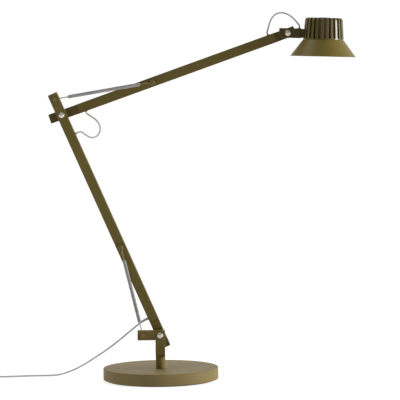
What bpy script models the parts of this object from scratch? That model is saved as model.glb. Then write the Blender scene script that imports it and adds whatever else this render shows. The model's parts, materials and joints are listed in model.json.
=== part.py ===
"""Adjustable arm lamp: a round weighted base, a swivelling post, two square-tube arms balanced by
draw-rod springs, and a finned lamp head with a conical shade.

Metres, +Z up. The origin is the centre of the base's underside, the arms fold in the XZ plane,
and the head points along +X. Run it with blender --background --python part.py, or from the text editor.
"""

import math

import bmesh
import bpy
from mathutils import Matrix, Vector

MM = 0.001
GAP = 0.3  # clearance between pieces that touch, in mm

# Driving dimensions, in mm
BAR = 20.0  # outside of every square tube
WALL = 1.5
PLUG = 16.4  # a spigot inside a square tube
LAYER = 21.6  # from the middle of one layer of bars to the next
ARM = 500.0  # from the lower pivot to the elbow
UPPER_ARM = 498.3  # from the elbow to the head pivot
LOWER_TAIL, TAIL = 29.3, 27.5  # the lower and upper arm's ends beyond their lower pivots
KNUCKLE = 32.0  # from a lower pivot to where the tube starts
HEAD_KNUCKLE = 23.4
TIP = 16.1  # the upper arm's end beyond the head pivot
EXTENSION = 48.0  # the lower arm's end beyond the elbow
BRACKET = 47.0  # from the lower pivot to the end of the spring bracket
SPRING_PIN = 36.0  # from a pivot to the support pin of its spring
SPRING_STUD = 200.0  # from a pivot to the arm's spring stud
BASE_R, BASE_TOP = 120.0, 26.0
POST_Y = -LAYER
PIVOT_Z = 96.0
POST_TOP = PIVOT_Z + BAR / 2
LOWER_LEAN, UPPER_RISE, HEAD_TILT = 113.4, 19.2, -2.0  # degrees from +X towards +Z
HEAD_AXIS = 74.1  # from the head pivot to the axis of the shade
BOLT_R, HOLE_R = 4.0, 4.3
CORD_R = 1.8
COIL_R, WIRE_R = 3.9, 1.2

OLIVE = (0.115, 0.083, 0.024)


def direction(degrees):
    a = math.radians(degrees)
    return Vector((math.cos(a), 0.0, math.sin(a)))


PIVOT = Vector((0.0, 0.0, PIVOT_Z))
ELBOW = PIVOT + ARM * direction(LOWER_LEAN)
HEAD = ELBOW + UPPER_ARM * direction(UPPER_RISE)

# Scene, collections, materials

for old in list(bpy.data.objects):
    bpy.data.objects.remove(old, do_unlink=True)

parts = bpy.data.collections.new("arm_lamp")
cutters = bpy.data.collections.new("cutters")
for c in (parts, cutters):
    bpy.context.scene.collection.children.link(c)


def material(name, colour, roughness, metallic=0.0):
    m = bpy.data.materials.new(name)
    m.use_nodes = True
    m.diffuse_color = (*colour, 1.0)
    shader = m.node_tree.nodes["Principled BSDF"]
    shader.inputs["Base Color"].default_value = (*colour, 1.0)
    shader.inputs["Roughness"].default_value = roughness
    shader.inputs["Metallic"].default_value = metallic
    return m


paint = material("olive_paint", OLIVE, 0.42)
base_paint = material("base_paint", (0.24, 0.20, 0.12), 0.45)
steel = material("bright_steel", (0.62, 0.58, 0.50), 0.28, 1.0)
spring_steel = material("spring_steel", (0.36, 0.35, 0.34), 0.35, 1.0)
black = material("black_plastic", (0.02, 0.02, 0.02), 0.5)
rubber = material("rubber_foot", (0.03, 0.03, 0.03), 0.85)
grey_cord = material("grey_cord", (0.32, 0.32, 0.31), 0.55)
aluminium = material("aluminium", (0.75, 0.75, 0.76), 0.3, 1.0)
white = material("white_reflector", (0.85, 0.85, 0.82), 0.35)
frosted = material("frosted_diffuser", (0.88, 0.88, 0.86), 0.5)
phosphor = material("led_phosphor", (0.85, 0.66, 0.12), 0.4)


def frame(name, point, degrees=0.0):
    """An empty whose X axis runs along a bar; its origin is on the joint's axis."""
    e = bpy.data.objects.new(name, None)
    e.location = point * MM
    e.rotation_euler = (0.0, -math.radians(degrees), 0.0)
    parts.objects.link(e)
    return e


base_frame = frame("frame_base", Vector((0, 0, 0)))
post_frame = frame("frame_post", Vector((0, POST_Y, 0)))
lower_frame = frame("frame_lower_arm", PIVOT, LOWER_LEAN)
upper_frame = frame("frame_upper_arm", ELBOW + Vector((0, LAYER, 0)), UPPER_RISE)
head_frame = frame("frame_head", HEAD, HEAD_TILT)

# Shapes

FRONT = (math.pi / 2, 0.0, 0.0)  # turns a shape's own Z to face the front, -Y


def place(name, mesh, parent, mat=None, at=(0, 0, 0), turn=(0, 0, 0), cutter=False):
    o = bpy.data.objects.new(name, mesh)
    (cutters if cutter else parts).objects.link(o)
    o.parent = parent
    o.location = Vector(at) * MM
    o.rotation_euler = turn
    if cutter:
        o.hide_render = True
        o.display_type = "WIRE"
    elif mat:
        mesh.materials.append(mat)
    return o


def block(name, low, high, parent, mat=None, bevel=0.0, cutter=False):
    """A box between two corners of its parent's frame, with its edges bevelled."""
    low, high = Vector(low) * MM, Vector(high) * MM
    bm = bmesh.new()
    bmesh.ops.create_cube(bm, size=1.0)
    bmesh.ops.scale(bm, vec=high - low, verts=bm.verts)
    mesh = bpy.data.meshes.new(name)
    bm.to_mesh(mesh)
    bm.free()
    o = place(name, mesh, parent, mat, (low + high) / (2 * MM), cutter=cutter)
    if bevel:
        b = o.modifiers.new("edges", "BEVEL")
        b.width = bevel * MM
        b.segments = 1
        b.limit_method = "ANGLE"
    return o


def rod(name, radius, start, end, parent, mat=None, turn=(0, 0, 0), at=(0, 0, 0), sides=20, cutter=False):
    """A cylinder, or a prism with few sides, from start to end along its own Z."""
    bm = bmesh.new()
    bmesh.ops.create_cone(bm, cap_ends=True, segments=sides, radius1=radius * MM, radius2=radius * MM,
                          depth=(end - start) * MM)
    bmesh.ops.translate(bm, vec=(0, 0, (start + end) / 2 * MM), verts=bm.verts)
    mesh = bpy.data.meshes.new(name)
    bm.to_mesh(mesh)
    bm.free()
    o = place(name, mesh, parent, mat, at, turn, cutter)
    if sides > 8 and not cutter:
        mesh.shade_smooth()
        mesh.set_sharp_from_angle(angle=math.radians(35))
    return o


def turned(name, profile, parent, mat=None, at=(0, 0, 0), turn=(0, 0, 0), steps=24, ring=False):
    """A profile of (radius, height) points turned about its own Z, listed down the outer side.
    A ring's profile is closed; the others start and end on the axis."""
    mesh = bpy.data.meshes.new(name)
    points = [(r * MM, 0.0, z * MM) for r, z in profile]
    edges = [(i, i + 1) for i in range(len(points) - 1)]
    if ring:
        edges.append((len(points) - 1, 0))
    mesh.from_pydata(points, edges, [])
    o = place(name, mesh, parent, mat, at, turn)
    s = o.modifiers.new("turn", "SCREW")
    s.steps = s.render_steps = steps
    s.use_merge_vertices = True
    s.merge_threshold = 0.00001
    s.use_smooth_shade = True
    return o


def washer(name, inner, outer, back, front, parent, mat, at=(0, 0, 0), turn=FRONT, steps=24):
    profile = [(outer, front), (outer, back), (inner, back), (inner, front)]
    return turned(name, profile, parent, mat, at, turn, steps, ring=True)


def cut(o, *tools, operation="DIFFERENCE"):
    for t in tools:
        b = o.modifiers.new(t.name, "BOOLEAN")
        b.operation = operation
        b.solver = "EXACT"
        b.object = t
    return o


def cross_hole(name, radius, x, parent, z=0.0, y=(-30, 30)):
    return rod(name, radius, -y[1], -y[0], parent, turn=FRONT, at=(x, 0, z), cutter=True)


def wall_hole(name, radius, x, side, parent, y=0.0):
    """A hole through the top (side 1) or bottom (side -1) wall of a bar."""
    low, high = sorted((side * 5.0, side * 15.0))
    return rod(name, radius, low, high, parent, at=(x, y, 0), cutter=True)


def square_tube(name, start, end, parent, mat, closed_start=False):
    """A square tube along X. Its start can be closed by a wall."""
    h, inner = BAR / 2, BAR / 2 - WALL
    o = block(name, (start, -h, -h), (end, h, h), parent, mat, bevel=0.9)
    inside = start + WALL if closed_start else start - 5
    bore = block(name + "_bore", (inside, -inner, -inner), (end + 5, inner, inner), parent, cutter=True)
    return cut(o, bore)


def joined(name, first, second, parent, mat, bevel=0.0):
    """Two overlapping boxes as one solid."""
    o = block(name, *first, parent, mat, bevel=bevel)
    other = block(name + "_spigot", *second, parent, cutter=True)
    return cut(o, other, operation="UNION")


def eye(name, parent, at, reach_start, reach_end, angle, mat):
    """A wire with an eye: a ring around a pin at the origin, and a straight leg from the ring outwards.
    angle is the leg's direction in the parent's XZ plane, in degrees from X towards Z."""
    ring_r = 3.7
    turn = (math.pi / 2, 0.0, 0.0)
    bpy.ops.mesh.primitive_torus_add(major_segments=14, minor_segments=6, major_radius=ring_r * MM,
                                     minor_radius=WIRE_R * MM)
    o = bpy.context.object
    for c in list(o.users_collection):
        c.objects.unlink(o)
    parts.objects.link(o)
    o.name = o.data.name = name
    o.data.materials.append(mat)
    o.parent = parent
    o.location = Vector(at) * MM
    o.rotation_euler = turn
    leg = rod(name + "_leg", WIRE_R * 0.96, reach_start, reach_end, parent,
              turn=(0.0, math.radians(90 - angle), 0.0), at=at, sides=8, cutter=True)
    cut(o, leg, operation="UNION")
    return o


# Base

base = turned("base_plate",
              [(0, BASE_TOP), (BASE_R - 2.2, BASE_TOP), (BASE_R - 0.7, BASE_TOP - 0.6), (BASE_R, BASE_TOP - 2.0),
               (BASE_R, 3.5), (BASE_R - 1.2, 2.3), (0, 2.3)],
              base_frame, base_paint, steps=56)
cut(base,
    rod("base_spindle_hole", 5.3, 5, 40, base_frame, at=(0, POST_Y, 0), cutter=True),
    rod("base_spindle_pocket", 17, -1, 10.3, base_frame, at=(0, POST_Y, 0), sides=24, cutter=True))
rod("base_pad", 114, 0, 2.0, base_frame, rubber, sides=40)
washer("swivel_collar", 5.3, 10.0, BASE_TOP + GAP, 50.6, post_frame, paint, turn=(0, 0, 0), steps=28)
spindle = turned("swivel_spindle",
                 [(0, 75), (4.3, 75), (5, 74.3), (5, 10), (14, 10), (14, 6), (13, 5), (0, 5)],
                 post_frame, steel, steps=24)
cut(spindle, rod("spindle_socket", 4.6, 2, 8.5, post_frame, sides=6, cutter=True))
nut = rod("spindle_nut", 8.0, 66.6, 73.5, post_frame, steel, sides=6)
cut(nut, rod("spindle_nut_bore", 5.3, 60, 80, post_frame, cutter=True))

# Post, with the bracket that holds the lower spring

washer("swivel_washer", 5.3, 9.6, 50.9, 51.5, post_frame, black, turn=(0, 0, 0))
h = BAR / 2
plug = joined("post_plug", ((-h, -h, 51.8), (h, h, 53.8)),
              ((-PLUG / 2, -PLUG / 2, 52.8), (PLUG / 2, PLUG / 2, 66.0)), post_frame, paint)
cut(plug, rod("post_plug_bore", 5.3, 45, 70, post_frame, cutter=True))
post = block("post_tube", (-h, -h, 54.1), (h, h, POST_TOP - 2.3), post_frame, paint, bevel=0.9)
cut(post,
    block("post_bore", (-h + WALL, -h + WALL, 50), (h - WALL, h - WALL, 120), post_frame, cutter=True),
    cross_hole("post_pivot_hole", HOLE_R, 0, post_frame, z=PIVOT_Z))
joined("post_cap", ((-h, -h, POST_TOP - 2.0), (h, h, POST_TOP)),
       ((-PLUG / 2, -PLUG / 2, POST_TOP - 3.7), (PLUG / 2, PLUG / 2, POST_TOP - 1.0)), post_frame, paint)
washer("post_bush", HOLE_R, 5.9, -PLUG / 2, PLUG / 2, post_frame, steel, at=(0, 0, PIVOT_Z), steps=20)

bracket = block("spring_bracket", (-BRACKET, -h, PIVOT_Z - h), (-h - GAP, h, PIVOT_Z + h), post_frame, paint,
                bevel=0.9)
cut(bracket,
    block("bracket_bore", (-BRACKET + WALL, -h + WALL, PIVOT_Z - h + WALL), (0, h - WALL, PIVOT_Z + h - WALL),
          post_frame, cutter=True),
    block("bracket_slot", (-BRACKET + 2.0, -2.5, PIVOT_Z), (-29.0, 2.5, PIVOT_Z + 20), post_frame, cutter=True),
    cross_hole("bracket_pin_hole", 2.3, -SPRING_PIN, post_frame, z=PIVOT_Z))
PIN = [(0, 12.3), (3.1, 12.3), (4, 11.6), (4, 10.3), (2, 10.3), (2, -11.0), (0, -11.0)]
turned("lower_spring_pin", PIN, post_frame, paint, at=(-SPRING_PIN, 0, PIVOT_Z), turn=FRONT, steps=20)


def bolt(name, parent, at, tip):
    """A pivot bolt seen from the front: a low round head with a socket, 3 mm proud of the bar's face."""
    profile = [(0, 13.5), (5.2, 13.5), (6.0, 12.7), (6.0, 10.3), (BOLT_R, 10.3), (BOLT_R, tip + 0.6),
               (BOLT_R - 0.6, tip), (0, tip)]
    o = turned(name, profile, parent, steel, at=at, turn=FRONT, steps=24)
    return cut(o, rod(name + "_socket", 2.7, 11.6, 16, parent, turn=FRONT, at=at, sides=6, cutter=True))


def hex_nut(name, parent, at, front, back):
    o = rod(name, 7.5, back, front, parent, steel, turn=FRONT, at=at, sides=6)
    return cut(o, rod(name + "_bore", HOLE_R, back - 5, front + 5, parent, turn=FRONT, at=at, cutter=True))


# Depths below are measured from the middle of the front bar of each joint, positive to the front
BACK = -LAYER  # the middle of the bar behind it
FACE = 9.4  # half of a knuckle's thickness
bolt("lower_pivot_bolt", post_frame, (0, 0, PIVOT_Z), BACK - FACE - 8.5)
washer("lower_pivot_washer", HOLE_R, 9.0, BACK + FACE + GAP, -h - GAP, post_frame, black, at=(0, 0, PIVOT_Z))
hex_nut("lower_pivot_nut", post_frame, (0, 0, PIVOT_Z), BACK - FACE - GAP, BACK - FACE - 6.8)

# Lower arm: X runs along the arm from the lower pivot


def knuckle(name, start, end, parent, toward):
    """A solid end piece of an arm. Its spigot goes toward the tube: 1 along X, or -1."""
    tip = 4.5
    spigot = (end - 1, end + tip) if toward > 0 else (start - tip, start + 1)
    o = joined(name, ((start, -FACE, -9.8), (end, FACE, 9.8)),
               ((spigot[0], -PLUG / 2, -PLUG / 2), (spigot[1], PLUG / 2, PLUG / 2)), parent, paint)
    return o


arm_end = ARM + EXTENSION
o = knuckle("lower_arm_knuckle", -LOWER_TAIL, KNUCKLE, lower_frame, 1)
cut(o, cross_hole("lower_knuckle_hole", HOLE_R, 0, lower_frame))
tube = square_tube("lower_arm_tube", KNUCKLE + GAP, arm_end - 2.3, lower_frame, paint)
MAINS_AT, ELBOW_CORD_AT = 40.0, 453.0
cut(tube,
    cross_hole("elbow_hole", HOLE_R, ARM, lower_frame),
    cross_hole("upper_spring_pin_hole", 2.3, ARM + SPRING_PIN, lower_frame),
    cross_hole("lower_stud_hole", 2.3, SPRING_STUD, lower_frame, y=(-20, -5)),
    wall_hole("mains_hole", 3.0, MAINS_AT, 1, lower_frame),
    wall_hole("elbow_cord_hole", 3.0, ELBOW_CORD_AT, -1, lower_frame),
    block("upper_rod_slot", (ARM + 22, -2.5, -15), (ARM + 42, 2.5, -5), lower_frame, cutter=True))
joined("lower_arm_cap", ((arm_end - 2, -h, -h), (arm_end, h, h)),
       ((arm_end - 5.2, -PLUG / 2, -PLUG / 2), (arm_end - 1, PLUG / 2, PLUG / 2)), lower_frame, paint)
washer("elbow_bush", HOLE_R, 5.9, -PLUG / 2, PLUG / 2, lower_frame, steel, at=(ARM, 0, 0), steps=20)
bolt("elbow_bolt", lower_frame, (ARM, 0, 0), BACK - FACE - 8.5)
washer("elbow_washer", HOLE_R, 9.0, BACK + FACE + GAP, -h - GAP, lower_frame, black, at=(ARM, 0, 0))
hex_nut("elbow_nut", lower_frame, (ARM, 0, 0), BACK - FACE - GAP, BACK - FACE - 6.8)
turned("upper_spring_pin", PIN, lower_frame, paint, at=(ARM + SPRING_PIN, 0, 0), turn=FRONT, steps=20)

# A spring stud stands off the front of an arm, in the plane of the layer in front of it
f = LAYER
STUD = [(0, f + 3.7), (3.2, f + 3.7), (4, f + 3.0), (4, f + 1.7), (2, f + 1.7), (2, f - 1.7), (4, f - 1.7),
        (4, h + GAP), (2, h + GAP), (2, h - 4), (0, h - 4)]
turned("lower_spring_stud", STUD, lower_frame, paint, at=(SPRING_STUD, 0, 0), turn=FRONT, steps=20)


def grommet(name, parent, x, side, y=0.0):
    """A cable gland in a bar's top (side 1) or bottom (side -1) wall: a neck in the hole and a flange outside."""
    inner, neck, flange, lip = CORD_R + GAP, 2.7, 3.6, 1.5
    profile = [(flange - 0.5, h + GAP + lip), (flange, h + GAP + lip - 0.6), (flange, h + GAP), (neck, h + GAP),
               (neck, h - WALL - 0.6), (inner, h - WALL - 0.6), (inner, h + GAP + lip)]
    return turned(name, profile, parent, black, at=(x, y, 0), turn=(0 if side > 0 else math.pi, 0, 0), steps=16,
                  ring=True)


grommet("mains_gland", lower_frame, MAINS_AT, 1)
grommet("elbow_gland_lower", lower_frame, ELBOW_CORD_AT, -1)

# Upper arm: X runs along the arm from the elbow

o = knuckle("elbow_knuckle", -TAIL, KNUCKLE, upper_frame, 1)
cut(o, cross_hole("elbow_knuckle_hole", HOLE_R, 0, upper_frame))
tube = square_tube("upper_arm_tube", KNUCKLE + GAP, UPPER_ARM - HEAD_KNUCKLE - GAP, upper_frame, paint)
ELBOW_CORD_END, HEAD_CORD_AT = 49.0, 459.0
cut(tube,
    cross_hole("upper_stud_hole", 2.3, SPRING_STUD, upper_frame, y=(-20, -5)),
    wall_hole("elbow_cord_end_hole", 3.0, ELBOW_CORD_END, -1, upper_frame),
    wall_hole("head_cord_hole", 3.0, HEAD_CORD_AT, 1, upper_frame))
o = knuckle("head_knuckle", UPPER_ARM - HEAD_KNUCKLE, UPPER_ARM + TIP, upper_frame, -1)
cut(o, cross_hole("head_knuckle_hole", HOLE_R, UPPER_ARM, upper_frame))
turned("upper_spring_stud", STUD, upper_frame, paint, at=(SPRING_STUD, 0, 0), turn=FRONT, steps=20)
grommet("elbow_gland_upper", upper_frame, ELBOW_CORD_END, -1)
grommet("head_gland_arm", upper_frame, HEAD_CORD_AT, 1)

# Head: X runs along the head bar from the head pivot

BAR_END = 27.3
bar = square_tube("head_bar", -17.8, BAR_END, head_frame, paint, closed_start=True)
HEAD_CORD_END = 23.6
cut(bar,
    cross_hole("head_pivot_hole", HOLE_R, 0, head_frame),
    wall_hole("head_cord_end_hole", 3.0, HEAD_CORD_END, 1, head_frame))
grommet("head_gland_bar", head_frame, HEAD_CORD_END, 1)
washer("head_bush", HOLE_R, 5.9, -PLUG / 2, PLUG / 2, head_frame, steel, steps=20)
bolt("head_bolt", head_frame, (0, 0, 0), BACK - FACE - 8.5)
washer("head_washer", HOLE_R, 9.0, BACK + FACE + GAP, -h - GAP, head_frame, black)
hex_nut("head_nut", head_frame, (0, 0, 0), BACK - FACE - GAP, BACK - FACE - 6.8)

NECK_END = 41.1
neck = joined("head_neck", ((BAR_END + GAP, -9.2, -9.3), (NECK_END, 9.2, 9.3)),
              ((9.0, -PLUG / 2, -PLUG / 2), (BAR_END + 2, PLUG / 2, 1.5)), head_frame, paint)
along = (0.0, math.pi / 2, 0.0)
cut(neck, rod("neck_wire_way", 2.5, 20, 50, head_frame, turn=along, at=(0, 0, 5.0), sides=12, cutter=True))

# A finned drum, the heat sink, stands on a conical shade that is open below
RIM_R, RIM_Z = 68.0, -46.9
DRUM_TOP, DRUM_R, DRUM_FOOT_R, DRUM_FOOT = 33.0, 39.0, 42.0, -12.0
CORE_R, CAVITY_R = 34.0, 30.0
FINS = 24
heat_sink = turned("heat_sink",
                   [(9.3, DRUM_TOP), (CORE_R, DRUM_TOP), (36.6, 32.2), (38.4, 30.3), (DRUM_R, 27.8),
                    (DRUM_FOOT_R, DRUM_FOOT), (CAVITY_R, DRUM_FOOT), (CAVITY_R, 28.0), (9.3, 28.0)],
                   head_frame, paint, at=(HEAD_AXIS, 0, 0), steps=72, ring=True)
turned("shade",
       [(DRUM_FOOT_R, DRUM_FOOT - GAP), (43.5, -14.1), (RIM_R, RIM_Z), (RIM_R - 2.3, RIM_Z), (40.9, -14.2),
        (39.4, DRUM_FOOT - GAP)],
       head_frame, paint, at=(HEAD_AXIS, 0, 0), steps=56, ring=True)


def fin_slots():
    """One slot between each pair of fins, from the drum's foot up over its top edge."""
    bm = bmesh.new()
    for k in range(FINS):
        made = bmesh.ops.create_cube(bm, size=1.0)["verts"]
        bmesh.ops.scale(bm, vec=(20 * MM, 5.0 * MM, 60 * MM), verts=made)
        bmesh.ops.translate(bm, vec=((CORE_R + 10) * MM, 0, (30 - 10) * MM), verts=made)
        turn = Matrix.Rotation(2 * math.pi * k / FINS, 4, "Z")
        bmesh.ops.transform(bm, matrix=turn, verts=made)
    mesh = bpy.data.meshes.new("fin_slots")
    bm.to_mesh(mesh)
    bm.free()
    return place("fin_slots", mesh, head_frame, at=(HEAD_AXIS, 0, 0), cutter=True)


cut(heat_sink,
    fin_slots(),
    block("neck_pocket", (20, -9.5, -9.6), (NECK_END + GAP, 9.5, 9.6), head_frame, cutter=True),
    rod("shade_wire_way", 2.5, 35, 50, head_frame, turn=along, at=(0, 0, 5.0), sides=12, cutter=True))

centre = (HEAD_AXIS, 0, 0)
turned("led_driver", [(0, 24.4), (24.8, 24.4), (26, 23.2), (26, 3.6), (0, 3.6)], head_frame, black, at=centre,
       steps=32)
rod("led_carrier", 29.6, 0.0, 3.0, head_frame, aluminium, at=centre, sides=32)
block("led_chip", (HEAD_AXIS - 6.5, -6.5, -1.5), (HEAD_AXIS + 6.5, 6.5, -0.3), head_frame, phosphor)
turned("reflector", [(12.2, -0.4), (29.4, -11.0), (27.8, -11.0), (10.8, -0.4)], head_frame, white, at=centre,
       steps=32, ring=True)
rod("diffuser", 29.4, -12.9, -11.3, head_frame, frosted, at=centre, sides=36)
turned("retaining_ring",
       [(33.1, -12.3), (33.6, -12.8), (33.6, -14.9), (26.5, -14.9), (26.5, -13.2), (29.8, -13.2), (29.8, -12.3)],
       head_frame, black, at=centre, steps=36, ring=True)
turned("power_button", [(0, 33.8), (8.2, 33.8), (9.0, 33.0), (9.0, 27.7), (10.6, 27.7), (10.6, 26.3), (0, 26.3)],
       head_frame, black, at=centre, steps=28)


# Springs. Each is a hollow coil hooked to the arm's stud, and a draw rod from the support pin that slides in it.
def spring(name, post, stud, plane, lead, hook, parent_rod, parent_coil):
    """post and stud are the two pins in the XZ plane. The coil leaves lead mm at the post and hook mm at the stud."""
    run = stud - post
    length, angle = run.length, math.degrees(math.atan2(run.z, run.x))
    f_stud = frame("frame_" + name + "_coil", Vector((stud.x, plane, stud.z)), angle + 180)
    f_post = frame("frame_" + name + "_rod", Vector((post.x, plane, post.z)), angle)
    for f_, p_ in ((f_stud, parent_coil), (f_post, parent_rod)):
        f_["moves_with"] = p_
    near, far = hook, length - lead
    # the coil is closed at the stud, and a bore from the other end makes it hollow
    outline = [(0, far), (COIL_R - 0.9, far), (COIL_R, far - 1.5), (COIL_R, near + 1.0), (COIL_R - 0.8, near),
               (0, near)]
    o = turned(name + "_coil", outline, f_stud, spring_steel, turn=along, steps=16)
    cut(o, rod(name + "_coil_bore", 2.3, near + 3.0, far + 10, f_stud, turn=along, sides=12, cutter=True))
    eye(name + "_hook", f_stud, (0, 0, 0), 3.2, near - GAP, 0.0, spring_steel)
    eye(name + "_rod", f_post, (0, 0, 0), 3.2, lead + 43.5, 0.0, spring_steel)
    return angle


spring("lower_spring", Vector((-SPRING_PIN, 0, PIVOT_Z)), PIVOT + SPRING_STUD * direction(LOWER_LEAN), -LAYER, 27.5,
       27.0, "post", "lower_arm")
spring("upper_spring", PIVOT + (ARM + SPRING_PIN) * direction(LOWER_LEAN), ELBOW + SPRING_STUD * direction(UPPER_RISE),
       0.0, 27.5, 26.0, "lower_arm", "upper_arm")


# Cords
def through(points, step):
    """Points a step apart on a smooth curve through the given ones."""
    p = [Vector(q) for q in points]
    p = [2 * p[0] - p[1]] + p + [2 * p[-1] - p[-2]]
    fine = []
    for i in range(1, len(p) - 2):
        for k in range(24):
            t = k / 24
            fine.append(0.5 * (2 * p[i] + (p[i + 1] - p[i - 1]) * t
                               + (2 * p[i - 1] - 5 * p[i] + 4 * p[i + 1] - p[i + 2]) * t * t
                               + (3 * p[i] - p[i - 1] - 3 * p[i + 1] + p[i + 2]) * t ** 3))
    fine.append(p[-2])
    total = sum((b - a).length for a, b in zip(fine, fine[1:]))
    count = max(3, round(total / step))
    out, walked, k = [fine[0]], 0.0, 1
    for a, b in zip(fine, fine[1:]):
        d = (b - a).length
        while k < count and walked + d >= total * k / count:
            out.append(a.lerp(b, (total * k / count - walked) / d))
            k += 1
        walked += d
    return out + [fine[-1]]


def tube_along(name, points, step=8.5):
    c = bpy.data.curves.new(name, "CURVE")
    c.dimensions = "3D"
    c.bevel_depth = CORD_R * MM
    c.bevel_resolution = 2
    c.use_fill_caps = True
    s = c.splines.new("POLY")
    line = through(points, step)
    s.points.add(len(line) - 1)
    for q, v in zip(s.points, line):
        q.co = (*(v * MM), 1.0)
    o = bpy.data.objects.new(name, c)
    parts.objects.link(o)
    c.materials.append(grey_cord)
    return o


LEAVE = h + GAP + 1.5 + GAP  # from a bar's middle to where a cord's own tube starts


def gland_point(pivot, degrees, x, side, y, out=0.0):
    p = pivot + x * direction(degrees) + side * (LEAVE + out) * direction(degrees + 90)
    return (p.x, y, p.z)


mains_start = [gland_point(PIVOT, LOWER_LEAN, MAINS_AT, 1, 0.0)]
COIL_X, COIL_Y, COIL_MID, COIL_HALF, COIL_TOP = -378.0, 26.3, 22.6, 9.9, 7.5
COIL_LAST, COIL_LAST_Z = 29.8, 5.7  # the radius and height of the turn that the tail leaves
FLOOR = CORD_R + GAP
tube_along("mains_cord", mains_start + [
    (-33.4, 0.4, 124.9), (-40.0, 2.6, 120.3), (-47.0, 6.4, 114.6), (-65.9, 17.0, 98.6), (-84.9, 27.0, 82.1),
    (-110.9, 41.0, 61.1), (-136.9, 53.0, 42.6), (-162.9, 62.0, 25.6), (-188.4, 67.0, 12.4), (-213.4, 69.0, 4.3),
    (-235.0, 69.5, FLOOR), (-264.0, 68.0, FLOOR), (-300.0, 63.0, FLOOR), (-336.0, 58.5, FLOOR),
    (-361.0, 57.1, FLOOR)])
washer("mains_coil", COIL_MID - COIL_HALF, COIL_MID + COIL_HALF, GAP, COIL_TOP, base_frame, grey_cord,
       at=(COIL_X, COIL_Y, 0), turn=(0, 0, 0), steps=40)
PLUG_Y, PLUG_X, PLUG_H = -12.0, COIL_X - COIL_LAST, 14.0
tube_along("mains_tail", [(PLUG_X, 7.5, COIL_LAST_Z), (PLUG_X, 2.0, 6.0), (PLUG_X, -5.0, 6.7),
                          (PLUG_X, PLUG_Y + GAP, PLUG_H / 2 + GAP)], 4.0)
mid = PLUG_H / 2 + GAP
plug_body = block("mains_plug", (PLUG_X - 13, PLUG_Y - 36, GAP), (PLUG_X + 13, PLUG_Y - 7, PLUG_H + GAP), base_frame,
                  black, bevel=2.0)
cut(plug_body,
    rod("plug_sleeve", 4.2, PLUG_Y - 12, PLUG_Y, base_frame, turn=(-math.pi / 2, 0, 0), at=(PLUG_X, 0, mid), sides=14,
        cutter=True),
    rod("plug_pin_left", 2.0, PLUG_Y - 55, PLUG_Y - 30, base_frame, turn=(-math.pi / 2, 0, 0),
        at=(PLUG_X - 9.3, 0, mid), sides=12, cutter=True),
    rod("plug_pin_right", 2.0, PLUG_Y - 55, PLUG_Y - 30, base_frame, turn=(-math.pi / 2, 0, 0),
        at=(PLUG_X + 9.3, 0, mid), sides=12, cutter=True), operation="UNION")

elbow_line = [gland_point(ELBOW, LOWER_LEAN, ELBOW_CORD_AT - ARM, -1, 0.0, out) for out in (0.0, 3.0)]
elbow_line += [(-159.0, 2.5, 519.4), (-151.3, 5.0, 514.1), (-142.4, 7.0, 508.4), (-134.4, 8.6, 506.8),
               (-125.9, 10.8, 510.4), (-120.0, 13.0, 520.1), (-120.6, 15.0, 531.1), (-127.2, 17.0, 542.0),
               (-137.0, 19.5, 549.7)]
elbow_line += [gland_point(ELBOW, UPPER_RISE, ELBOW_CORD_END, -1, LAYER, out) for out in (3.5, 0.0)]
tube_along("elbow_cord", elbow_line, 7.5)

head_line = [gland_point(ELBOW, UPPER_RISE, HEAD_CORD_AT, 1, LAYER, out) for out in (0.0, 4.0)]
head_line += [(232.6, 20.0, 731.0), (235.4, 18.0, 741.0), (240.4, 15.6, 751.0), (248.5, 12.5, 758.5),
              (259.5, 9.6, 761.0), (271.5, 7.0, 758.0), (283.0, 4.0, 750.0), (291.0, 1.5, 741.0)]
head_line += [gland_point(HEAD, HEAD_TILT, HEAD_CORD_END, 1, 0.0, out) for out in (4.0, 0.0)]
tube_along("head_cord", head_line, 8.0)

bpy.context.view_layer.update()
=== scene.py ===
"""The looks of the adjustable arm lamp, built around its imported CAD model.

Shapes are made in millimetres in a local frame of their body: an arm's X axis runs along the arm from its
lower pivot. They are then put into the row frame in metres, so a finished piece's place is in its vertices.
"""

import json
import math

import bmesh
import bpy
from mathutils import Matrix, Vector


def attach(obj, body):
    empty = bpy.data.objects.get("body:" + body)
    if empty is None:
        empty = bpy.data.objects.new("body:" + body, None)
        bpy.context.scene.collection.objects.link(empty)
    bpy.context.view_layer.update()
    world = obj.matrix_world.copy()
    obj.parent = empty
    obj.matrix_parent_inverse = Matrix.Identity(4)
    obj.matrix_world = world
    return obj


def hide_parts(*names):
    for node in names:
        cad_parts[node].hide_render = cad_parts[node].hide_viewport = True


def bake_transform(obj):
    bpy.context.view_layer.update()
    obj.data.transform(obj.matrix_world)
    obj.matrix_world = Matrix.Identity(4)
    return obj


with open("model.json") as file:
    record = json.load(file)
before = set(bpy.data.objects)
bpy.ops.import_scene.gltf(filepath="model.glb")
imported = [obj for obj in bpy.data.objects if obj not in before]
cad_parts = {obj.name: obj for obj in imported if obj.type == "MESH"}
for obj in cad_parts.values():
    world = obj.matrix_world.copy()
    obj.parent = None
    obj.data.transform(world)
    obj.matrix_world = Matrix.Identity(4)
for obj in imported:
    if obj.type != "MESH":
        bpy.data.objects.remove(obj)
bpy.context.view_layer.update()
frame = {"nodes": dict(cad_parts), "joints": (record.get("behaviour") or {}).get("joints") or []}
nodes = frame["nodes"]

# Driving dimensions, in mm, the same as in the CAD source

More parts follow.
